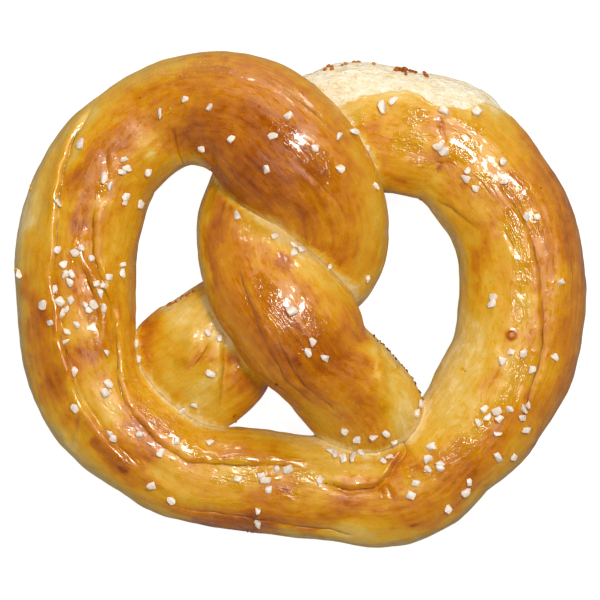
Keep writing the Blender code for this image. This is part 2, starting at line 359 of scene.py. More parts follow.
RIDGES = [                                   # places, height and half width in hundredths
    ([(117.0, -0.06), (121.0, 0.18), (125.0, 0.38), (130.0, 0.50), (141.0, 0.46)], 0.26, 0.9),
    ([(8.0, 0.02), (11.5, 0.16), (14.5, 0.34), (18.0, 0.62)], 0.50, 1.5),
    ([(7.0, -0.42), (10.0, -0.22), (12.5, -0.12)], 0.32, 1.3),
    ([(168.5, -0.47), (174.0, -0.46), (179.0, -0.43)], 0.12, 0.45),
    ([(151.0, 0.64), (158.0, 0.60), (166.0, 0.50), (173.0, 0.46), (187.0, 0.54)], 0.26, 1.2),
    ([(278.5, 0.44), (283.0, 0.48), (288.5, 0.44)], 0.36, 2.2),
    ([(352.5, 0.80), (355.5, 0.66), (358.0, 0.42), (361.0, 0.22), (366.0, 0.10)], 0.34, 1.1),
]
FOLD_FADE = 4.0                              # hundredths over which a fold deepens from its ends
GROOVE_WIDTH = 0.75                          # the next four are in millimetres
LIP_PEAK = 1.25
SLOPE_LENGTH = 3.4
CREASE_WIDTH = 0.8


def middle_line(places, wander=0.0, seed=0):
    """How far round each ring a line through these places runs, with a slight wander."""
    distances, positions = zip(*places)
    middle = np.interp(along, distances, positions)
    window = np.hanning(2 * round(1.5 / RING_GAP) + 3)
    middle = np.convolve(np.pad(middle, len(window) // 2, mode="edge"), window / window.sum(), "valid")
    sway = [wander * noise.noise(Vector((seed * 3.7, place / 2.5, 0.5))) for place in along]
    return girth_at(middle) + np.array(sway)


def gap_from(line):
    """The distance of each point from a line along the rope, positive to its left."""
    slant = np.gradient(line, along)
    return (girth - line[:, None]) / np.sqrt(1 + slant**2)[:, None]


def strength_along(places, fade=FOLD_FADE):
    """1 along the line through these places, falling to 0 towards its ends."""
    start, end = places[0][0], places[-1][0]
    fade = min(fade, (end - start) / 2.5)
    return smoothstep(0, fade, along - start) * smoothstep(0, fade, end - along)


def fold_relief(fold, gap, strength):
    """A fold's groove, its rounded lip and the slope on its other side, in hundredths."""
    outward = gap * fold.side / MILLIMETRE
    rising = np.clip(outward, 0, None) / LIP_PEAK
    lip = fold.lip * rising * np.exp(1 - rising)
    reach = np.where(outward < 0, SLOPE_LENGTH, GROOVE_WIDTH / 2)
    slope = 0.45 * fold.depth * np.exp(-np.abs(outward) / reach)
    groove = 0.55 * fold.depth * np.exp(-((outward / GROOVE_WIDTH) ** 2))
    return strength[:, None] * (lip - slope - groove) * MILLIMETRE


fold_fields = []
for number, layer in enumerate(FOLD_LAYERS):
    places = [place for fold in layer for place in fold.places]
    gap = gap_from(middle_line(places, wander=0.45, seed=number + 1))
    strengths = [strength_along(fold.places) for fold in layer]
    for fold, strength in zip(layer, strengths):
        raised += fold_relief(fold, gap, strength)
    total = np.sum(strengths, axis=0)[:, None] * (0.6 + 0.9 * relief(rope_place, 3.5, 20 + number))
    fold_fields.append(np.stack([gap / MILLIMETRE, total, np.zeros_like(gap)], axis=2))
for number, (places, height, half_width) in enumerate(RIDGES):
    gap = gap_from(middle_line(places, wander=0.6, seed=number + 9))
    strength = strength_along(places)[:, None]
    uneven = 1 + 0.5 * relief(rope_place * [1, 0.3, 1], 3.0, 30 + number, octaves=1)
    raised += strength * height * uneven * np.exp(-((gap / half_width) ** 2))
print(sum(len(layer) for layer in FOLD_LAYERS), "folds and", len(RIDGES), "ridges")

# %% Creases across the rope
across_grid = np.broadcast_to(np.where(np.sin(turn) > 0, across, np.sign(across)), girth.shape)
crease_marks = np.zeros_like(girth)
for number, (places, depth) in enumerate(CREASES):
    distances, positions = zip(*sorted(places, key=lambda place: place[1]))
    shake = 0.35 * relief(rope_place, 1.6, 50 + number, octaves=1)
    gap = (along_grid - np.interp(across_grid, positions, distances) + shake) / MILLIMETRE
    inside = smoothstep(0, 0.12, across_grid - positions[0]) * smoothstep(0, 0.12, positions[-1] - across_grid)
    mark = inside * np.exp(-((gap / CREASE_WIDTH) ** 2))
    crease_marks = np.maximum(crease_marks, mark)
    raised -= depth * MILLIMETRE * mark
print(len(CREASES), "creases across")

# %% [markdown]
# ## The torn side
#
# At the back of the right loop the skin tore as the dough rose, and the crumb swelled out of the
# tear. It is cream-coloured, dull and stringy. The tear is a line along the crust, as the folds
# are: everything outside it is crumb. The distance from it goes to the material, and the mesh gets
# a low step with stringy relief beyond it.

# %% The tear
TEAR = [
    (268.0, -1.00), (274.5, -0.99), (276.3, -0.90), (277.6, -0.66), (279.0, -0.63), (281.3, -0.55),
    (283.6, -0.68), (286.5, -0.74), (289.0, -0.66), (290.9, -0.58), (293.8, -0.46), (297.5, -0.36),
    (303.0, -0.30),
]
TEAR_ENDS = (273.0, 303.0)


def torn_gap():
    """How far each point is beyond the tear, in hundredths; negative is still skin."""
    distances, positions = zip(*TEAR)
    line = girth_at(np.interp(along, distances, positions))[:, None]
    lowest = girth_at(np.full(RINGS, -1.0))[:, None] - TORN_BELOW
    end_gap = np.minimum(along - TEAR_ENDS[0], TEAR_ENDS[1] - along)[:, None]
    return np.minimum(np.minimum(line - girth, girth - lowest), end_gap)


TORN_BELOW = 7.5                             # hundredths that the tear reaches below the widest line
tear = torn_gap() + 0.35 * relief(rope_place, 1.4, 40, octaves=2)
torn = smoothstep(-0.15, 0.25, tear)
strands = relief(rope_place * [0.45, 1, 1], 1.3, 5, octaves=3)
lumps = relief(rope, 2.4, 6, octaves=2)
crumb_swell = smoothstep(0, 4, tear)
skin_lip = np.exp(-(((tear + 0.6) / 0.5) ** 2))
raised += torn * (0.17 * strands + 0.20 * lumps - 0.20 + 0.35 * crumb_swell) + 0.10 * skin_lip
print("the crumb shows over", round(100 * float((torn > 0.5).mean()), 1), "% of the rope")

# %% [markdown]
# ## Browning
#
# A crust browns where it is high, thin and well glazed, and stays pale where another strand lay
# against it. One number says how far each point has baked, from 0, raw cream, to 1, nearly black,
# and the material turns it into a colour. A chart holds it: nine letters across the rope, from
# its left side over the crest to its right side, every few hundredths along. Its darker letters
# towards the sides and next to a few contacts are partly real browning and partly painted shade.
# Painting a texture would need an unwrapped map; the chart is the map, and noise pushes its places
# about so that no patch keeps a straight edge. Small marks and a few short-lived spots are added by
# name, and the creases across the rope are darkened in it as painted shade.

# %% The browning chart
LEVELS = {"c": 0.03, "s": 0.17, "l": 0.32, "g": 0.47, "a": 0.62, "b": 0.77, "d": 0.90}
BROWNING = {                                 # cream, straw, light, gold, amber, brown, dark
    0: "aagggllgg", 5: "abaglgglg", 8: "baglllslg", 11: "gllgasllg", 14: "ssslasbaa",
    17: "sssssbaaa", 20: "gglgaaaag", 30: "gggaaaggg", 40: "gggaaggls", 45: "ggaaaaggl",
    50: "gaaaaagll", 55: "gabaaaagg", 60: "abbbbbaag", 65: "bbdbbbaag", 70: "bbbbbbaag",
    75: "bbbbbaaag", 80: "sbbbaaaag", 85: "labaaaalg", 90: "sgaaaaags", 95: "lgggaaags",
    100: "gggabagsl", 105: "gggaabsgs", 110: "ggggbagls", 115: "glgablgsc", 120: "gggaggglc",
    125: "gggaaagas", 130: "ggaagabas", 135: "ggaglaaas", 138: "ggabbaaas", 141: "aggggabas",
    145: "ggggglags", 150: "ggallagss", 153: "ggaaaabls", 156: "ggabaabls", 160: "ggaabaaas",
    163: "gggggsags", 167: "gggagglas", 170: "gggggggab", 175: "lgallggbb", 180: "lgaggaadb",
    185: "slgaagaas", 190: "ssllggaas", 195: "aglgabasl", 200: "aasaaagls", 205: "aabagaaas",
    210: "lggagaaas", 215: "sllgaabas", 220: "ssslgaags", 225: "ssslgaaga", 230: "sssalgaaa",
    235: "sssllggaa", 240: "sslggaaaa", 245: "sglglagaa", 250: "salggagab", 255: "saalgaaba",
    260: "slagagaab", 265: "sgggaaaaa", 270: "sgaggggga", 275: "llgaggglc", 280: "lggagagcc",
    285: "gagggggcc", 290: "gaagaglcc", 295: "gggglsscc", 305: "ggggggggg", 315: "ggggggggl",
    320: "cslgaabas", 325: "ccclgabas", 330: "cclgaaabs", 335: "csgaaaaaa", 340: "slaababaa",
    345: "gaabbbbaa", 350: "aabbbabaa", 355: "ssaaaaagg", 360: "sssgaaagg", 365: "slssgaagg",
    370: "basslgggg", 373: "aassllggg",
}
MARKS = [                                    # along, across, half length, half width, level
    (112.6, 0.03, 2.2, 0.9, "a"), (127.0, 0.07, 0.3, 0.3, "d"), (152.0, -0.46, 1.2, 0.9, "b"),
    (155.3, -0.42, 0.8, 0.7, "b"), (157.6, -0.52, 1.1, 0.7, "d"), (178.8, -0.76, 1.6, 0.6, "b"),
    (184.5, -0.06, 0.7, 0.4, "b"), (204.5, -0.66, 0.5, 0.4, "b"), (205.0, -0.30, 0.3, 0.3, "b"), (255.3, -0.64, 0.5, 0.7, "a"),
    (276.5, 0.37, 1.3, 0.7, "b"), (284.5, 0.72, 1.1, 0.9, "a"), (335.0, 0.50, 1.8, 1.4, "b"),
    (345.9, -0.31, 0.9, 0.5, "d"), (229.4, 0.68, 0.25, 0.25, "d"), (96.0, 0.52, 1.5, 0.9, "s"),
    (118.5, 0.72, 1.2, 0.8, "l"), (148.8, 0.20, 1.6, 2.0, "l"), (250.2, 0.58, 1.5, 1.0, "l"),
]


def charted(chart, along_places, across_places):
    """The chart's value at these places, blended between its letters."""
    table = np.array([[LEVELS[letter] for letter in letters] for letters in chart.values()])
    row = np.interp(along_places, list(chart), range(len(chart)))
    column = (1 - np.clip(across_places, -1, 1)) * (table.shape[1] - 1) / 2
    row_index = np.minimum(row.astype(int), table.shape[0] - 2)
    column_index = np.minimum(column.astype(int), table.shape[1] - 2)
    row_share, column_share = row - row_index, column - column_index
    near = table[row_index, column_index] * (1 - column_share)
    near += table[row_index, column_index + 1] * column_share
    far = table[row_index + 1, column_index] * (1 - column_share)
    far += table[row_index + 1, column_index + 1] * column_share
    return near * (1 - row_share) + far * row_share


def spot(along_places, across_places, centre, middle, half_length, half_width):
    """1 in a soft oval on the rope and 0 outside it."""
    half_across = half_width / np.interp(centre, along, station[:, HALF_WIDTH])
    distance = np.hypot((along_places - centre) / half_length, (across_places - middle) / half_across)
    return smoothstep(-1.35, -0.55, -distance)


push_along = 1.5 * relief(rope, 3.4, 11)
push_across = 0.11 * relief(rope, 3.4, 12)
bake = charted(BROWNING, along_grid + push_along, across_grid + push_across)
for centre, middle, half_length, half_width, letter in MARKS:
    share = spot(along_grid + push_along / 3, across_grid + push_across / 3,
                 centre, middle, half_length, half_width)
    bake += (LEVELS[letter] - bake) * share
level_up = facing[..., Z]
streaks = relief(rope_place * [0.14, 1, 1], 2.4, 13)
bake += 0.05 * relief(rope, 3.4, 15) + 0.05 * streaks + 0.04 * relief(rope, 1.5, 17)
# painted shade: the creases across the rope are darkened through the browning number
bake += 0.16 * crease_marks
bake += 0.30 * np.exp(-(((blister_gap - 0.85) / 0.35) ** 2)) + 0.16 * (blister_gap < 0.8)
base_heat = smoothstep(0.55, 0.95, -level_up)
bake = bake + (0.66 - bake) * base_heat
print("browning runs from", round(float(bake.min()), 2), "to", round(float(bake.max()), 2))

# %% [markdown]
# The egg wash pooled in places: there it dried to a wet shine, with the finest wrinkles. Elsewhere
# it is a satin film, and the torn crumb and the sides have none. A list of soft ovals on the rope
# says where it is thick.

# %% Where the egg wash is thick
WET = [                                      # along, across, half length, half width
    (9.5, 0.16, 2.0, 1.0), (11.5, -0.20, 1.8, 2.0), (15.5, -0.52, 0.8, 1.8), (45.2, -0.06, 1.0, 1.6),
    (56.5, 0.20, 5.0, 1.2), (60.0, -0.20, 4.5, 2.4), (65.5, -0.12, 2.6, 1.8), (66.0, -0.68, 5.0, 1.0),
    (57.5, 0.55, 3.0, 1.0), (83.5, -0.62, 7.0, 2.2), (89.0, -0.70, 3.0, 1.6), (88.0, 0.06, 2.4, 0.8),
    (107.5, 0.20, 2.2, 0.9), (112.5, -0.46, 3.0, 0.7), (120.0, 0.08, 2.4, 1.6), (124.0, 0.34, 3.0, 1.8),
    (129.0, 0.54, 3.5, 1.8), (135.0, 0.62, 4.0, 1.2), (133.0, 0.34, 4.0, 1.2), (138.0, 0.52, 3.0, 1.0),
    (128.0, -0.30, 6.0, 0.7), (139.0, -0.29, 8.0, 0.8), (147.0, 0.74, 5.0, 1.2), (153.5, 0.66, 3.0, 1.8),
    (160.0, 0.58, 4.0, 1.8), (167.5, 0.46, 4.0, 1.4), (176.0, 0.42, 6.0, 0.9), (184.0, 0.48, 4.0, 0.8),
    (173.0, -0.46, 4.5, 0.5), (178.5, 0.16, 4.0, 1.6), (187.0, 0.22, 2.6, 1.4), (174.5, -0.02, 3.0, 1.2),
    (185.0, -0.12, 2.0, 1.2), (157.0, -0.30, 3.0, 0.8), (201.5, 0.04, 1.6, 1.8), (208.0, 0.18, 2.5, 1.6),
    (212.5, 0.06, 3.0, 2.2), (217.5, -0.06, 3.0, 2.4), (223.0, -0.02, 4.0, 1.8), (228.5, -0.14, 3.0, 2.0),
    (234.5, -0.14, 3.6, 2.0), (245.0, 0.10, 4.0, 1.4), (252.0, 0.06, 4.0, 1.8), (259.0, 0.04, 4.0, 1.8),
    (258.5, -0.32, 2.2, 1.4), (264.0, -0.26, 3.0, 2.4), (268.0, 0.04, 2.4, 1.4), (275.0, -0.08, 2.6, 2.8),
    (285.0, 0.10, 3.2, 2.6), (281.5, 0.34, 2.4, 0.8), (284.5, -0.34, 1.8, 1.8), (276.5, -0.48, 1.8, 1.0),
    (294.0, -0.10, 2.0, 2.0), (345.0, 0.28, 4.0, 2.2), (338.5, -0.04, 4.0, 2.0), (346.0, -0.10, 4.0, 2.0),
    (338.5, -0.42, 3.0, 0.5), (341.0, -0.20, 3.0, 1.2), (362.5, 0.06, 1.6, 0.8), (349.0, 0.45, 2.0, 1.4),
]
wet = np.zeros_like(bake)
for centre, middle, half_length, half_width in WET:
    share = spot(along_grid + 0.7 * push_along, across_grid + 0.6 * push_across,
                 centre, middle, half_length, half_width)
    wet = np.maximum(wet, share)
glaze = smoothstep(-0.15, 0.45, level_up + 0.15 * relief(rope, 4.0, 16)) * (1 - torn)
wet *= glaze
print("the wash is thick over", round(100 * float((wet > 0.5).mean()), 1), "% of the rope")

# %% [markdown]
# ## One piece of dough
#
# The grid still passes through itself at the crossings. A voxel remesh would join the strands but
# melt the folds, so a Boolean union does it. Its fast solver wants closed bodies that don't cross
# themselves, so the rope is first cut into three stretches that each stay clear of themselves:
# the hidden end, the long way round, and the strand that comes back over. The cut faces match
# exactly and vanish in the union. Everything that a point knows is stored on the corners of the
# faces, because the Boolean carries those values over cleanly even where two strands meet.

# %% Stretches of rope
rope += facing * raised[..., None]
CORNER_FIELDS = {
    "rope_place": rope_place / MILLIMETRE,
    "bake": bake,
    "glaze": glaze,
    "wet": wet,
    "tear": tear / MILLIMETRE,
    "fold_a": fold_fields[0],
    "fold_b": fold_fields[1],
    "fold_c": fold_fields[2],
}
CUTS = (0.0, 30.0, 280.0, ROPE_LENGTH)       # hundredths along the rope
END_INSET = 0.0008                           # of the ring's radius
END_TURN = 0.12                              # of the step to the next point


def mesh_object(name, points, faces):
    """An object that holds these points and faces."""
    data = bpy.data.meshes.new(name)
    data.from_pydata(points, [], faces)
    made = bpy.data.objects.new(name, data)
    bpy.context.scene.collection.objects.link(made)
    return made


def ring_corners(field):
    """The field's values at the corners of the squares between rings."""
    corners = [field[:-1, :-1], field[:-1, 1:], field[1:, 1:], field[1:, :-1]]
    return np.stack(corners, axis=2).reshape((-1,) + field.shape[2:])


def end_corners(row, at_start):
    """The field's values at the corners of the fan that closes an end."""
    edge = [row[1:], row[:-1]] if at_start else [row[:-1], row[1:]]
    middle = np.broadcast_to(row[:-1].mean(axis=0), edge[0].shape)
    return np.stack(edge + [middle], axis=1).reshape((-1,) + row.shape[1:])


def stretch_of_rope(name, first, last):
    """A closed body from one ring to another, with everything its corners know."""
    rings = rope[first : last + 1, :-1].copy()
    middles = [rings[0].mean(axis=0), rings[-1].mean(axis=0)]
    for ring, middle, way in zip((0, -1), middles, (1, -1)):
        rings[ring] += (np.roll(rings[ring], way, axis=0) - rings[ring]) * END_TURN
        rings[ring] += (middle - rings[ring]) * END_INSET
    points = np.concatenate([rings.reshape(-1, 3), middles]) * UNIT
    number = np.arange(rings.shape[0] * rings.shape[1]).reshape(rings.shape[:2])
    number = np.concatenate([number, number[:, :1]], axis=1)
    faces = ring_corners(number).reshape(-1, 4).tolist()
    for row, middle in ((number[0], len(points) - 2), (number[-1], len(points) - 1)):
        at_start = row[0] == 0
        for one, other in zip(row[:-1].tolist(), row[1:].tolist()):
            faces.append([other, one, middle] if at_start else [one, other, middle])
    made = mesh_object(name, points.tolist(), faces)
    for label, field in CORNER_FIELDS.items():
        here = field[first : last + 1]
        values = [ring_corners(here), end_corners(here[0], True), end_corners(here[-1], False)]
        kind, key = ("FLOAT_VECTOR", "vector") if field.ndim == 3 else ("FLOAT", "value")
        stored = made.data.attributes.new(label, kind, "CORNER")
        stored.data.foreach_set(key, np.concatenate(values).astype(np.float32).ravel())
    return made


cut_rings = [int(np.abs(along - cut).argmin()) for cut in CUTS]
hidden_end, dough, returning = [
    stretch_of_rope(name, max(first - 1, 0), last)
    for name, first, last in zip(("hidden_end", "dough", "returning"), cut_rings, cut_rings[1:])
]
print("stretches of", [len(part.data.polygons) for part in (hidden_end, dough, returning)], "faces")


# %% Join the stretches
def joined_with(thing, others):
    """Replace the object's mesh by its union with the others, and remove the others."""
    for other in others:
        union = thing.modifiers.new("one_piece", "BOOLEAN")
        union.operation = "UNION"
        union.solver = "MANIFOLD"
        union.object = other
    depsgraph = bpy.context.evaluated_depsgraph_get()
    result = bpy.data.meshes.new_from_object(thing.evaluated_get(depsgraph))
    thing.modifiers.clear()
    thing.data = result
    for other in others:
        bpy.data.objects.remove(other)


def islands(mesh):
    """The mesh's vertices in connected groups, the largest first."""
    left_over = set(mesh.verts)
    groups = []
    while left_over:
        group = {left_over.pop()}
        edge = list(group)
        while edge:
            here = edge.pop()
            for link in here.link_edges:
                other = link.other_vert(here)
                if other in left_over:
                    left_over.discard(other)
                    group.add(other)
                    edge.append(other)
        groups.append(group)
    return sorted(groups, key=len, reverse=True)


def outside_only(thing):
    """Keep the outer skin, without any bubble shut in between the strands."""
    mesh = bmesh.new()
    mesh.from_mesh(thing.data)
    for group in islands(mesh)[1:]:
        bmesh.ops.delete(mesh, geom=list(group), context="VERTS")
    idle = [vert for vert in mesh.verts if len(vert.link_edges) == 2]
    bmesh.ops.dissolve_verts(mesh, verts=idle)
    bmesh.ops.triangulate(mesh, faces=mesh.faces)
    open_edges = sum(not edge.is_manifold for edge in mesh.edges)
    mesh.to_mesh(thing.data)
    mesh.free()
    return open_edges


joined_with(dough, [hidden_end, returning])
loose_ends = outside_only(dough)
print("the dough has", len(dough.data.polygons), "faces and", loose_ends, "open edges")

# %% [markdown]
# ## Creases and the flat base
#
# Where strands meet, soft dough closes into a rounded crease, not a knife cut, so the points near
# each contact are relaxed towards their neighbours. A vertex on a contact is easy to find: its
# corners come from two places far apart along the rope. The underside took the shape of the tray.
# Pressing it flat with a smooth formula, which leaves everything above it alone, gives the soft
# turn that a baked base has at its edge.

# %% Relax the contacts
FAR_APART = 8.0                              # mm along the rope
CREASE_REACH = 1.3                           # mm


def point_coordinates(data):
    """The mesh's points as an array."""
    values = np.empty(3 * len(data.vertices), np.float32)
    data.vertices.foreach_get("co", values)
    return values.reshape(-1, 3).astype(float)


def corner_attribute(data, name, width):
    """A corner attribute as an array."""
    key = "vector" if width == 3 else "value"
    values = np.empty(width * len(data.loops), np.float32)
    data.attributes[name].data.foreach_get(key, values)
    return values.reshape(-1, width)


def contact_distance(data, coordinates):
    """How far each point is from the nearest contact between strands, in millimetres."""
    corner_point = np.empty(len(data.loops), np.int32)
    data.loops.foreach_get("vertex_index", corner_point)
    travelled = corner_attribute(data, "rope_place", 3)[:, 0]
    least = np.full(len(coordinates), np.inf)
    most = np.full(len(coordinates), -np.inf)
    np.minimum.at(least, corner_point, travelled)
    np.maximum.at(most, corner_point, travelled)
    contacts = np.nonzero(most - least > FAR_APART)[0]
    tree = kdtree.KDTree(len(contacts))
    for i in contacts:
        tree.insert(coordinates[i], i)
    tree.balance()
    return np.array([tree.find(place)[2] for place in coordinates.tolist()]) * 1000


def relaxed(data, coordinates, weight, rounds=6):
    """Each point moved towards the middle of its neighbours, by its weight."""
    edges = np.empty(2 * len(data.edges), np.int32)
    data.edges.foreach_get("vertices", edges)
    one, other = edges.reshape(-1, 2).T
    count = np.bincount(one, minlength=len(coordinates)) + np.bincount(other, minlength=len(coordinates))
    for _ in range(rounds):
        total = np.zeros_like(coordinates)
        np.add.at(total, one, coordinates[other])
        np.add.at(total, other, coordinates[one])
        middle = total / np.maximum(count, 1)[:, None]
        coordinates = coordinates + (middle - coordinates) * weight[:, None] * 0.6
    return coordinates


coordinates = point_coordinates(dough.data)
from_contact = contact_distance(dough.data, coordinates)
coordinates = relaxed(dough.data, coordinates, smoothstep(-CREASE_REACH, 0, -from_contact))
print("points within a millimetre of a contact:", int((from_contact < 1).sum()))

# %% Press the base flat
BASE_ROUNDING = 0.0011

height = coordinates[:, Z]
coordinates[:, Z] = (height + np.sqrt(height**2 + BASE_ROUNDING**2)) / 2
coordinates[:, Z] -= coordinates[:, Z].min()
dough.data.vertices.foreach_set("co", coordinates.astype(np.float32).ravel())
crease = dough.data.attributes.new("crease", "FLOAT", "POINT")
crease.data.foreach_set("value", np.clip(from_contact, 0, 20).astype(np.float32))
dough.data.update()
dough.data.shade_smooth()
dough.data.name = "dough"
size = coordinates.max(axis=0) - coordinates.min(axis=0)
print("the dough measures", (1000 * size).round(1).tolist(), "mm")
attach(dough, "root")
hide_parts("pretzel")

# %% [markdown]
# ## Shared effects
#
# Three effects are node groups that a material places with its own values; `mottle` and `crinkle`
# come back in more than one material. `mottle` gives the cloudy, freckled unevenness of anything baked.
# `crinkle` gives the relief of a glaze that dried and shrank, in millimetres of height. `line`
# turns a distance into a thin, soft-edged line.

# %% Node helpers
def new_group(name, inputs, outputs):
    """An empty node group with these named sockets, and its input and output nodes."""
    tree = bpy.data.node_groups.new(name, "ShaderNodeTree")
    for label, kind, value in inputs:
        socket = tree.interface.new_socket(label, in_out="INPUT", socket_type=kind)
        if value is not None:
            socket.default_value = value
    for label, kind in outputs:
        tree.interface.new_socket(label, in_out="OUTPUT", socket_type=kind)
    return tree, tree.nodes.new("NodeGroupInput"), tree.nodes.new("NodeGroupOutput")


def put(socket, value):
    """Link a socket to another, or give it a plain value."""
    if isinstance(value, bpy.types.NodeSocket):
        socket.id_data.links.new(value, socket)
    else:
        socket.default_value = value


def calculate(tree, operation, *values, clamp=False):
    """A Math node and its result."""
    node = tree.nodes.new("ShaderNodeMath")
    node.operation = operation
    node.use_clamp = clamp
    for socket, value in zip(node.inputs, values):
        put(socket, value)
    return node.outputs[0]


def remap(tree, value, low, high, new_low, new_high, smooth=True):
    """A Map Range node, clamped, and its result."""
    node = tree.nodes.new("ShaderNodeMapRange")
    node.interpolation_type = "SMOOTHSTEP" if smooth else "LINEAR"
    for label, given in zip(("Value", "From Min", "From Max", "To Min", "To Max"),
                            (value, low, high, new_low, new_high)):
        put(node.inputs[label], given)
    return node.outputs["Result"]


def stretched(tree, vector, scale):
    """The vector multiplied by three factors."""
    node = tree.nodes.new("ShaderNodeVectorMath")
    node.operation = "MULTIPLY"
    put(node.inputs[0], vector)
    put(node.inputs[1], scale)
    return node.outputs[0]


def cloud(tree, vector, scale, detail=2.0, roughness=0.5, distortion=0.0):
    """A Noise Texture and its value, about 0.3 to 0.7."""
    node = tree.nodes.new("ShaderNodeTexNoise")
    for label, value in (("Vector", vector), ("Scale", scale), ("Detail", detail),
                         ("Roughness", roughness), ("Distortion", distortion)):
        put(node.inputs[label], value)
    return node.outputs["Fac"]


def mixed(tree, share, first, second, blend="MIX"):
    """A colour Mix node and its result."""
    node = tree.nodes.new("ShaderNodeMix")
    node.data_type = "RGBA"
    node.blend_type = blend
    put(node.inputs[0], share)
    put(node.inputs[6], first)
    put(node.inputs[7], second)
    return node.outputs[2]


def mixed_value(tree, share, first, second):
    """A number between two others."""
    node = tree.nodes.new("ShaderNodeMix")
    node.data_type = "FLOAT"
    put(node.inputs[0], share)
    put(node.inputs[2], first)
    put(node.inputs[3], second)
    return node.outputs[0]


def attribute(tree, name, output):
    """A value that the mesh carries."""
    node = tree.nodes.new("ShaderNodeAttribute")
    node.attribute_name = name
    return node.outputs[output]


def placed(tree, group, **values):
    """A copy of a node group with these inputs."""
    node = tree.nodes.new("ShaderNodeGroup")
    node.node_tree = group
    for label, value in values.items():
        put(node.inputs[label], value)
    return node.outputs


# %% The shared groups
def make_mottle():
    """Clouds, streaks and freckles, each centred on 0, over a place in millimetres."""
    tree, given, result = new_group(
        "mottle",
        [("Place", "NodeSocketVector", None), ("Streak", "NodeSocketFloat", 0.2)],
        [("Clouds", "NodeSocketFloat"), ("Streaks", "NodeSocketFloat"), ("Freckles", "NodeSocketFloat")],
    )
    place = given.outputs["Place"]
    clouds = cloud(tree, place, 0.35, detail=4.0, roughness=0.62, distortion=0.3)
    squeeze = tree.nodes.new("ShaderNodeCombineXYZ")
    put(squeeze.inputs["X"], given.outputs["Streak"])
    put(squeeze.inputs["Y"], 1.0)
    put(squeeze.inputs["Z"], 1.0)
    streak = cloud(tree, stretched(tree, place, squeeze.outputs[0]), 0.8, detail=3.0, roughness=0.6)
    grains = cloud(tree, place, 1.7, detail=1.0)
    put(result.inputs["Clouds"], calculate(tree, "SUBTRACT", clouds, 0.5))
    put(result.inputs["Streaks"], calculate(tree, "SUBTRACT", streak, 0.5))
    put(result.inputs["Freckles"], remap(tree, grains, 0.64, 0.76, 0.0, 1.0))
    return tree


def make_crinkle():
    """The height of a dried, wrinkled glaze, in millimetres, over a place in millimetres."""
    tree, given, result = new_group(
        "crinkle",
        [("Place", "NodeSocketVector", None), ("Size", "NodeSocketFloat", 1.2),
         ("Height", "NodeSocketFloat", 0.05)],
        [("Height", "NodeSocketFloat")],
    )
    place = given.outputs["Place"]
    scale = calculate(tree, "DIVIDE", 1.0, given.outputs["Size"])
    waves = cloud(tree, place, scale, detail=2.0, roughness=0.55, distortion=0.6)
    folded = calculate(tree, "ABSOLUTE", calculate(tree, "SUBTRACT", waves, 0.5))
    folded = calculate(tree, "MULTIPLY", folded, 3.0)
    put(result.inputs["Height"], calculate(tree, "MULTIPLY", folded, given.outputs["Height"]))
    return tree


def make_line():
    """1 on a line and 0 beyond its half width, from a fold's distance and strength."""
    tree, given, result = new_group(
        "line",
        [("Fold", "NodeSocketVector", None), ("Half Width", "NodeSocketFloat", 0.4)],
        [("Line", "NodeSocketFloat")],
    )
    parts = tree.nodes.new("ShaderNodeSeparateXYZ")
    put(parts.inputs[0], given.outputs["Fold"])
    gap = calculate(tree, "ABSOLUTE", parts.outputs["X"])
    share = calculate(tree, "DIVIDE", gap, given.outputs["Half Width"])
    thin = remap(tree, share, 0.0, 1.0, 1.0, 0.0)
    put(result.inputs["Line"], calculate(tree, "MULTIPLY", thin, parts.outputs["Y"], clamp=True))
    return tree


MOTTLE, CRINKLE, LINE = make_mottle(), make_crinkle(), make_line()
print("node groups:", MOTTLE.name, CRINKLE.name, LINE.name)

# %% [markdown]
# ## The crust
#
# The browning number picks a colour from a ramp that runs from raw cream through straw, gold and
# amber to burnt brown. Painting the colour straight onto the points would be simpler, but a ramp
# lets the fine mottling of the material shift the browning too, so that small patches go through
# the same colours as large ones. The shine is the egg wash: smooth where it is thick, wrinkled all
# over, and missing on the sides and on the torn crumb.

# %% Crust material
BAKING_COLOURS = [
    (0.00, (0.860, 0.690, 0.400)),
    (0.17, (0.725, 0.475, 0.100)),
    (0.32, (0.690, 0.385, 0.022)),
    (0.47, (0.665, 0.312, 0.003)),
    (0.62, (0.570, 0.194, 0.001)),
    (0.77, (0.415, 0.110, 0.001)),
    (0.90, (0.280, 0.060, 0.001)),
    (1.00, (0.070, 0.014, 0.002)),
]


def colour_ramp(tree, value, stops):
    """A Color Ramp through these stops."""
    node = tree.nodes.new("ShaderNodeValToRGB")
    ramp = node.color_ramp
    while len(ramp.elements) < len(stops):
        ramp.elements.new(1.0)
    for element, (position, colour) in zip(ramp.elements, stops):
        element.position = position
        element.color = (*colour, 1.0)
    put(node.inputs["Fac"], value)
    return node.outputs["Color"]


def new_material(name, roughness, specular):
    """A material with a Principled BSDF, its tree and its shader."""
    material = bpy.data.materials.new(name)
    material.use_nodes = True
    shader = material.node_tree.nodes["Principled BSDF"]
    shader.inputs["Roughness"].default_value = roughness
    shader.inputs["Specular IOR Level"].default_value = specular
    return material, material.node_tree, shader


def bumped(tree, height, strength=1.0):
    """A Bump node that reads its height in millimetres."""
    node = tree.nodes.new("ShaderNodeBump")
    node.inputs["Strength"].default_value = strength
    node.inputs["Distance"].default_value = 0.001
    put(node.inputs["Height"], height)
    return node.outputs["Normal"]


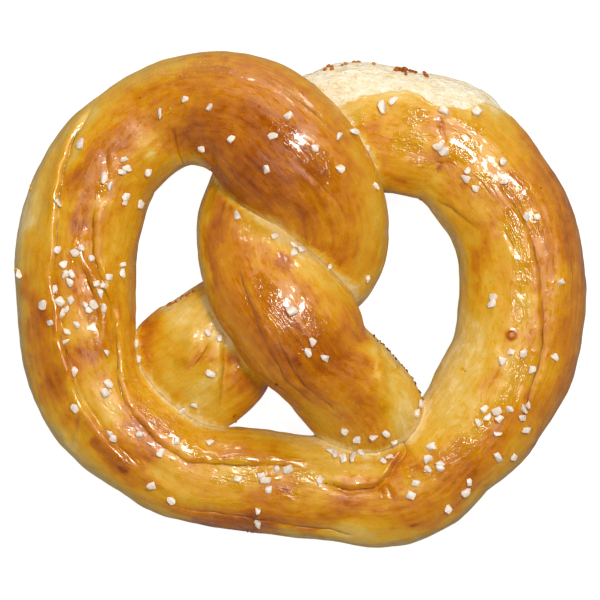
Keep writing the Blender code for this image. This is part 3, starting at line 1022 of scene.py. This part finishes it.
def crust_material():
    """Glazed, unevenly browned crust with painted shade along its folds and contacts, and torn crumb showing at
    the tear.
    """
    material, tree, shader = new_material("crust", roughness=0.5, specular=0.75)
    place = attribute(tree, "rope_place", "Vector")
    solid = stretched(tree, tree.nodes.new("ShaderNodeTexCoord").outputs["Object"], (1000.0,) * 3)
    marks = placed(tree, MOTTLE, Place=solid)
    drawn = placed(tree, MOTTLE, Place=place, Streak=0.15)

    level = attribute(tree, "bake", "Fac")
    level = calculate(tree, "MULTIPLY_ADD", marks["Clouds"], 0.30, level)
    level = calculate(tree, "MULTIPLY_ADD", drawn["Streaks"], 0.34, level)
    level = calculate(tree, "MULTIPLY_ADD", marks["Freckles"], 0.08, level)
    from_contact = calculate(tree, "MULTIPLY_ADD", marks["Clouds"], 5.0, attribute(tree, "crease", "Fac"))
    sheltered = remap(tree, from_contact, 0.2, 3.4, 0.42, 0.0)
    level = calculate(tree, "MAXIMUM", calculate(tree, "SUBTRACT", level, sheltered), 0.10)
    colour = colour_ramp(tree, level, BAKING_COLOURS)

    # painted shade: the crust is darkened to dark brown along the bottom of each fold and where two strands
    # touch
    lines = [
        placed(tree, LINE, **{"Fold": attribute(tree, name, "Vector"), "Half Width": width})["Line"]
        for name, width in (("fold_a", 0.42), ("fold_b", 0.36), ("fold_c", 0.3))
    ]
    fold_line = calculate(tree, "MAXIMUM", calculate(tree, "MAXIMUM", lines[0], lines[1]), lines[2])
    contact = remap(tree, attribute(tree, "crease", "Fac"), 0.0, 0.6, 1.0, 0.0)
    shade = calculate(tree, "MAXIMUM", calculate(tree, "MULTIPLY", fold_line, 0.60),
                      calculate(tree, "MULTIPLY", contact, 0.42))
    colour = mixed(tree, shade, colour, (0.16, 0.048, 0.004, 1.0))

    ragged = calculate(tree, "MULTIPLY_ADD", drawn["Clouds"], 2.2, attribute(tree, "tear", "Fac"))
    torn_share = remap(tree, ragged, -0.25, 0.45, 0.0, 1.0)
    crumb_tone = calculate(tree, "MULTIPLY_ADD", drawn["Streaks"], 1.1, 0.5)
    crumb_tone = calculate(tree, "MULTIPLY_ADD", marks["Clouds"], 1.3, crumb_tone)
    crumb_colour = colour_ramp(tree, crumb_tone, [
        (0.00, (0.70, 0.50, 0.22)), (0.26, (0.88, 0.72, 0.44)), (0.50, (0.95, 0.84, 0.62)),
        (0.85, (0.97, 0.92, 0.77)),
    ])
    colour = mixed(tree, torn_share, colour, crumb_colour)
    put(shader.inputs["Base Color"], colour)

    wet = attribute(tree, "wet", "Fac")
    glazed = attribute(tree, "glaze", "Fac")
    flecks = cloud(tree, stretched(tree, place, (0.5, 1.0, 1.0)), 0.85, detail=3.0, roughness=0.6)
    flecks = calculate(tree, "MULTIPLY", remap(tree, flecks, 0.50, 0.60, 0.0, 0.85), glazed)
    pooled = calculate(tree, "MULTIPLY_ADD", marks["Clouds"], 1.6, wet)
    pooled = calculate(tree, "MULTIPLY", remap(tree, pooled, 0.15, 0.70, 0.0, 1.0), glazed)
    gloss = calculate(tree, "MAXIMUM", flecks, pooled)
    satin = mixed_value(tree, glazed, 0.85, 0.46)
    put(shader.inputs["Roughness"], mixed_value(tree, gloss, satin, 0.12))
    put(shader.inputs["Coat Weight"], remap(tree, gloss, 0.45, 1.0, 0.0, 0.8))
    shader.inputs["Coat Roughness"].default_value = 0.09

    peel = placed(tree, CRINKLE, Place=solid, Size=1.1, Height=0.085)["Height"]
    drag = placed(tree, CRINKLE, Place=stretched(tree, place, (0.3, 1.0, 1.0)), Size=1.0, Height=0.07)["Height"]
    skin = placed(tree, CRINKLE, Place=stretched(tree, place, (0.4, 1.0, 1.0)), Size=2.6, Height=0.20)["Height"]
    crepe = calculate(tree, "ADD", calculate(tree, "ADD", peel, drag), skin)
    crepe = calculate(tree, "MULTIPLY", crepe, calculate(tree, "MULTIPLY_ADD", wet, 0.80, 0.30))
    fibre = placed(tree, CRINKLE, Place=stretched(tree, place, (0.6, 1.0, 1.0)), Size=0.9, Height=0.30)["Height"]
    fluff = placed(tree, CRINKLE, Place=solid, Size=1.7, Height=0.36)["Height"]
    fibre = calculate(tree, "ADD", fibre, fluff)
    height = mixed_value(tree, torn_share, crepe, fibre)
    height = calculate(tree, "MULTIPLY_ADD", fold_line, -0.22, height)
    put(shader.inputs["Normal"], bumped(tree, height))
    return material


dough.data.materials.clear()
dough.data.materials.append(crust_material())
print("crust nodes:", len(dough.data.materials[0].node_tree.nodes))

# %% [markdown]
# ## Coarse salt
#
# Pretzel salt is pressed into flat chips of 2 to 3 mm with knocked-off corners. Particles or
# instances would place them quickly, but they would not survive an export, so each grain is real
# mesh: the hull of a few random points with its edges beveled. They lie where the baker's hand
# dropped them, more on the left loop than anywhere else. Each is dropped straight down onto the
# dough, turned to lie flat on the slope and sunk a little into it.

# %% Where the salt lies
SALT = {
    "upper left": [
        (-19.7, 34.5), (-23.8, 32.2), (-15.4, 32.9), (-2, 31.1), (-4.6, 27.8), (-11.6, 27.3),
        (-16.7, 26), (-5.6, 22.1), (2.5, 25.7), (-37.8, 27), (-30.4, 24.3), (-29.9, 22.7),
        (-30.9, 22.2), (-26.4, 22.4), (-34, 21.1), (-32.7, 19.7), (-30.4, 17.8), (-30.6, 16.9),
        (-28, 16.7), (-42.1, 16.7), (-10.7, 14.4), (-4.4, 10.8), (-1.3, 9.3), (-1.1, 7.8),
        (0, 8.4), (5, 5.4), (11.6, 3.7),
    ],
    "left loop": [
        (-42.2, 8.6), (-37.9, 9), (-38.9, 8.1), (-36.2, 7), (-40.8, 6.2), (-30.9, 6.2),
        (-31, 4.7), (-48.6, 4.8), (-40.5, 4.4), (-39.4, 4.5), (-39.7, 3.2), (-33.2, 3.8),
        (-42.3, 1.9), (-34.2, 2.4), (-35.3, 2.7), (-34.7, 0.8), (-44.4, -0.8), (-41.7, -0.3),
        (-39.6, 0), (-35.5, -0.7), (-37.3, -0.8), (-40.4, -1.8), (-41.5, -2.3), (-36.5, -1.8),
        (-34, -1.5), (-43, -3.9), (-38.6, -4.1), (-40.2, -5.4), (-40.3, -7), (-33.5, -9.2),
        (-38.7, -12.2), (-33.2, -14.5), (-33.7, -16.1), (-38.8, -18.7),
    ],
    "left end and bow": [
        (-28.4, -7.7), (-28, -10.3), (-16, -5.7), (-13.8, -6.6), (-15.4, -12.6), (-18.4, -18.3),
        (-20.4, -19.4), (-27.8, -23.2), (-32.9, -23), (-32.4, -23.7), (-21.4, -24.4),
        (-15.7, -24.8), (-24.1, -26.5), (-25.6, -32.1), (-22.3, -34.7), (-10.7, -31),
        (-6.6, -30.5), (-5.9, -31.2), (-5.4, -32.7), (-4.1, -29.5), (-2.1, -29.4),
        (-7.3, -36.6), (-7.2, -38.8), (3.4, -31.2),
    ],
    "upper right": [
        (14.3, 33.3), (16.2, 34.2), (25, 32.6), (30.6, 32.5), (9, 28.6), (6.6, 27.5),
        (11.6, 26.2), (6.7, 22.4), (12.9, 19.5), (23.8, 26.5), (25, 25.7), (29, 22.3),
        (28.7, 21.1), (30.3, 19.3), (35, 23.8), (35.5, 20.4), (39.2, 14.4), (40.8, 14.3),
    ],
    "right loop": [
        (45, 3.1), (33.4, 0.5), (33.4, -0.7), (44, -9.8), (36.5, -9), (38.5, -9.2),
        (34.8, -10.5), (40, -12), (31.8, -18.8), (33.9, -19.1), (36.1, -18.8), (32.3, -20.2),
        (34.3, -20.4), (30.8, -21), (39.4, -18.1), (38.6, -18.7), (38.3, -20.3), (34.2, -22.9),
        (39, -22.4), (34.1, -27.1), (37, -27.1), (22.8, -25.5), (22, -27.6), (24.1, -28.2),
        (22.2, -29.2), (24.2, -29), (20, -31.6), (19.2, -33.7), (29.1, -31.4), (28.6, -33.2),
        (25.6, -36.1), (20.7, -18), (20, -19.5),
    ],
    "right end": [
        (-1.6, -1.7), (2, -7), (1.3, -8.8), (4.2, -9.8), (7.8, -22.5), (12.7, -23.3),
        (14.8, -22.9), (10, -24), (16.2, -24.5), (6, -26.8), (5.3, -26.4), (7.5, -27.5),
        (9.2, -27.4), (10.7, -26.5), (15.6, -27.4), (14.5, -27.9),
    ],
}
GRAIN_SIZE = 0.0030
CHIP_THICKNESS = 0.52                        # of a grain's size
LARGER = {(14.3, 33.3), (-1.6, -1.7), (-34, 21.1), (25, 32.6), (30.6, 32.5), (23.8, 26.5)}

# %% Drop things onto the dough
SIDE_LEVEL = 0.4                             # of the pretzel's height

draw = np.random.default_rng(20)
surface = BVHTree.FromPolygons(
    point_coordinates(dough.data).tolist(),
    [list(face.vertices) for face in dough.data.polygons],
)


def dropped(x, y):
    """Where something let go over this place in the plan lands, and the way the dough faces there.

    What would just miss the dough sticks to its side.
    """
    above = Vector((x * UNIT, y * UNIT, 2 * HIGH.z))
    where, normal, _, _ = surface.ray_cast(above, Vector((0, 0, -1)))
    if where is None:
        beside = Vector((x * UNIT, y * UNIT, SIDE_LEVEL * HIGH.z))
        where, normal, _, _ = surface.find_nearest(beside)
    return where, normal


def chip(size, corners, bevel):
    """A chipped flat lump of about this size: the hull of random points with its edges taken off."""
    mesh = bmesh.new()
    stretch = draw.uniform((0.95, 0.66, CHIP_THICKNESS), (1.15, 0.88, CHIP_THICKNESS + 0.1))
    for _ in range(corners):
        direction = draw.normal(size=3)
        direction = np.sign(direction) * np.abs(direction) ** 0.6
        direction /= np.linalg.norm(direction)
        mesh.verts.new(direction * stretch * size / 2 * draw.uniform(0.92, 1.08))
    bmesh.ops.convex_hull(mesh, input=mesh.verts)
    inner = [corner for corner in mesh.verts if not corner.link_faces]
    bmesh.ops.delete(mesh, geom=inner, context="VERTS")
    bmesh.ops.bevel(
        mesh, geom=mesh.edges[:], offset=bevel * size, segments=3, profile=0.5, affect="EDGES",
        clamp_overlap=True,
    )
    return mesh


def seat(mesh, where, normal, lift, lean=0.18):
    """Turn the lump to lie on the slope at a random heading, its middle this far above it."""
    heading = Matrix.Rotation(draw.uniform(0, 2 * math.pi), 4, "Z")
    tilt = Matrix.Rotation(draw.normal() * lean, 4, "X")
    slope = normal.to_track_quat("Z", "Y").to_matrix().to_4x4()
    there = Matrix.Translation(where + normal * lift)
    bmesh.ops.transform(mesh, matrix=there @ slope @ tilt @ heading, verts=mesh.verts)


def joined(name, lumps):
    """Many small meshes as one object."""
    whole = bmesh.new()
    for lump in lumps:
        part = bpy.data.meshes.new("part")
        lump.to_mesh(part)
        lump.free()
        whole.from_mesh(part)
        bpy.data.meshes.remove(part)
    data = bpy.data.meshes.new(name)
    whole.to_mesh(data)
    whole.free()
    made = bpy.data.objects.new(name, data)
    bpy.context.scene.collection.objects.link(made)
    return made


grains = []
for spots in SALT.values():
    for spot in spots:
        where, normal = dropped(*spot)
        size = GRAIN_SIZE * draw.uniform(0.82, 1.12) * (1.25 if spot in LARGER else 1.0)
        grain = chip(size, corners=14, bevel=0.13)
        seat(grain, where, normal, lift=size * 0.19)
        grains.append(grain)
salt = joined("salt", grains)
salt.data.shade_smooth()
salt.data.set_sharp_from_angle(angle=math.radians(60))
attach(salt, "root")
print(len(grains), "grains,", len(salt.data.polygons), "faces")

# %% Salt material
def salt_material():
    """Cloudy, slightly rosy salt that light sinks into."""
    material, tree, shader = new_material("salt", roughness=0.34, specular=0.5)
    solid = stretched(tree, tree.nodes.new("ShaderNodeTexCoord").outputs["Object"], (1000.0,) * 3)
    marks = placed(tree, MOTTLE, Place=solid, Streak=1.0)
    tone = calculate(tree, "MULTIPLY_ADD", marks["Clouds"], 2.0, 0.6)
    colour = colour_ramp(tree, tone, [(0.2, (0.77, 0.65, 0.56)), (0.8, (0.89, 0.82, 0.74))])
    put(shader.inputs["Base Color"], colour)
    pits = placed(tree, CRINKLE, Place=solid, Size=0.7, Height=0.04)["Height"]
    put(shader.inputs["Normal"], bumped(tree, pits))
    shader.inputs["Subsurface Weight"].default_value = 0.25
    shader.inputs["Subsurface Radius"].default_value = (1.0, 0.7, 0.5)
    shader.inputs["Subsurface Scale"].default_value = 0.0006
    return material


salt.data.materials.append(salt_material())

# %% [markdown]
# ## Crumbs and scorched bits
#
# Crumbs of an earlier batch and drips of egg wash bake hard onto the lowest edges, and a few turn
# black. Each is a small dented ball, and one piece holds all of them. Every ball carries its own
# browning number, so that one material gives pale, brown and black ones from the same ramp.

# %% Where the crumbs are
CLUSTERS = [                                 # from, to along, across, count, size in mm, browning
    (283.4, 289.2, -1.0, 20, 1.3, 0.80), (291.3, 292.4, -1.0, 3, 0.8, 0.62),
    (293.4, 297.0, -0.99, 9, 1.1, 0.72), (15.2, 18.8, 0.97, 14, 0.75, 0.84),
    (354.0, 367.6, 0.97, 52, 0.55, 0.99), (123.2, 123.9, -0.92, 4, 1.0, 0.25),
    (111.4, 112.6, -0.95, 3, 0.8, 0.35), (85.8, 89.6, 0.04, 16, 0.5, 0.46),
    (178.2, 179.6, -0.98, 4, 0.8, 0.75),
]
SINGLES = [                                  # x, y, size in mm, browning
    (-4.0, -14.5, 1.0, 0.99), (-27.7, 35.0, 0.4, 0.97), (41.7, 19.4, 0.45, 0.95),
    (28.6, -12.3, 0.4, 0.92), (4.5, -31.8, 0.5, 0.97), (-10.7, -21.2, 1.1, 0.80),
    (-11.3, -21.4, 0.8, 0.72), (-16.0, 22.5, 1.0, 0.22), (-15.5, 22.9, 0.8, 0.28),
    (5.9, -31.9, 0.35, 0.95), (-24.8, 5.6, 0.35, 0.90),
]


def beside_rope(place_along, place_across):
    """The finished surface nearest to this place on the rope, and the way the rope faces there."""
    ring = np.abs(along - place_along).argmin()
    column = crust_columns.start + np.abs(across[crust_columns] - place_across).argmin()
    where, _, _, _ = surface.find_nearest(Vector(rope[ring, column] * UNIT))
    return where, Vector(facing[ring, column])


def dented_ball(size):
    """A small ball with its points pushed about."""
    mesh = bmesh.new()
    bmesh.ops.create_icosphere(mesh, subdivisions=2, radius=size / 2)
    for corner in mesh.verts:
        corner.co *= 1 + 0.14 * draw.normal()
        corner.co.z *= 0.75
    return mesh


# %% Make the crumbs
balls, browning = [], []
for start, end, place_across, count, size, level in CLUSTERS:
    for _ in range(count):
        where, normal = beside_rope(draw.uniform(start, end), place_across + 0.02 * draw.normal())
        balls.append(dented_ball(0.001 * size * draw.uniform(0.6, 1.3)))
        seat(balls[-1], where, normal, lift=0.0001)
        browning.append(level + 0.05 * draw.normal())
for x, y, size, level in SINGLES:
    where, normal = dropped(x, y)
    balls.append(dented_ball(0.001 * size))
    seat(balls[-1], where, normal, lift=0.0)
    browning.append(level)
points_each = len(balls[0].verts)
crumbs = joined("crumbs", balls)
toast = crumbs.data.attributes.new("bake", "FLOAT", "POINT")
toast.data.foreach_set("value", np.repeat(browning, points_each).astype(np.float32))
crumbs.data.shade_smooth()
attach(crumbs, "root")
print(len(balls), "crumbs,", len(crumbs.data.polygons), "faces")


# %% Crumb material
def crumb_material():
    """Hard, shiny crumbs, each as brown as its own number says."""
    material, tree, shader = new_material("crumbs", roughness=0.35, specular=0.35)
    solid = stretched(tree, tree.nodes.new("ShaderNodeTexCoord").outputs["Object"], (1000.0,) * 3)
    marks = placed(tree, MOTTLE, Place=solid, Streak=1.0)
    level = calculate(tree, "MULTIPLY_ADD", marks["Clouds"], 0.5, attribute(tree, "bake", "Fac"))
    put(shader.inputs["Base Color"], colour_ramp(tree, level, BAKING_COLOURS))
    pits = placed(tree, CRINKLE, Place=solid, Size=0.5, Height=0.06)["Height"]
    put(shader.inputs["Normal"], bumped(tree, pits))
    return material


crumbs.data.materials.append(crumb_material())

# %% [markdown]
# ## Floor, light and camera
#
# The pretzel lies alone on a plain white floor. Food is usually lit high-key: a bright room fills
# every shadow, and one soft box over the table gives the crust its shine. The camera hangs
# straight above, with a long lens so that the sides of the dough hardly show.

# %% Floor
def floor_material():
    """Plain matt white, lit a little from below as a light table is."""
    material, tree, shader = new_material("floor", roughness=0.9, specular=0.1)
    shader.inputs["Base Color"].default_value = (0.22, 0.22, 0.22, 1.0)
    shader.inputs["Emission Color"].default_value = (1.0, 1.0, 1.0, 1.0)
    shader.inputs["Emission Strength"].default_value = 0.93
    return material


FLOOR_HALF = 4.0
corners = [(-FLOOR_HALF, -FLOOR_HALF, 0), (FLOOR_HALF, -FLOOR_HALF, 0),
           (FLOOR_HALF, FLOOR_HALF, 0), (-FLOOR_HALF, FLOOR_HALF, 0)]
floor = mesh_object("floor", corners, [(0, 1, 2, 3)])
floor.data.materials.append(floor_material())
floor.visible_diffuse = False
floor.visible_glossy = False

# %% Light
def soft_box(name, place, aim, width, depth, power):
    """A rectangular light at this place, turned to its aim."""
    data = bpy.data.lights.new(name, "AREA")
    data.shape = "RECTANGLE"
    data.size = width
    data.size_y = depth
    data.energy = power
    data.color = (1.0, 0.955, 0.88)
    light = bpy.data.objects.new(name, data)
    light.location = place
    light.rotation_euler = (Vector(aim) - Vector(place)).to_track_quat("-Z", "Y").to_euler()
    bpy.context.scene.collection.objects.link(light)
    return light


soft_box("over_the_table", (0.24, 0.30, 1.04), (0, 0, 0.01), 0.21, 0.21, 7.7)
soft_box("window_behind", (0.06, 0.95, 0.40), (0, 0, 0.01), 0.7, 0.16, 3.6)
ceiling = soft_box("ceiling", (-0.22, -0.26, 1.10), (0, 0, 0.01), 1.0, 1.0, 6.2)
ceiling.visible_glossy = False


def bright_room():
    """White walls all round and a dim ceiling, so that the crust mirrors little from above."""
    world = bpy.data.worlds.new("bright_room")
    world.use_nodes = True
    tree = world.node_tree
    height = tree.nodes.new("ShaderNodeSeparateXYZ")
    put(height.inputs[0], tree.nodes.new("ShaderNodeTexCoord").outputs["Generated"])
    strength = remap(tree, height.outputs["Z"], 0.10, 0.60, 0.34, 0.02)
    put(tree.nodes["Background"].inputs["Strength"], strength)
    tree.nodes["Background"].inputs["Color"].default_value = (1.0, 1.0, 1.0, 1.0)
    return world


bpy.context.scene.world = bright_room()
bpy.context.scene.view_settings.view_transform = "Standard"

# %% Camera
CAMERA_HEIGHT = 0.70
MARGIN = 1.051                               # the frame is this much wider than the pretzel
WIDEST_LEVEL = 0.3 * HIGH.z                  # where the outline's edge lies

camera_data = bpy.data.cameras.new("camera")
camera_data.sensor_width = 36.0
camera_data.lens = 36.0 * (CAMERA_HEIGHT - WIDEST_LEVEL) / (MARGIN * (HIGH.x - LOW.x))
camera = bpy.data.objects.new("camera", camera_data)
camera.location = (0, 0, CAMERA_HEIGHT)
bpy.context.scene.collection.objects.link(camera)
bpy.context.scene.camera = camera
print("lens", round(camera_data.lens, 1), "mm")
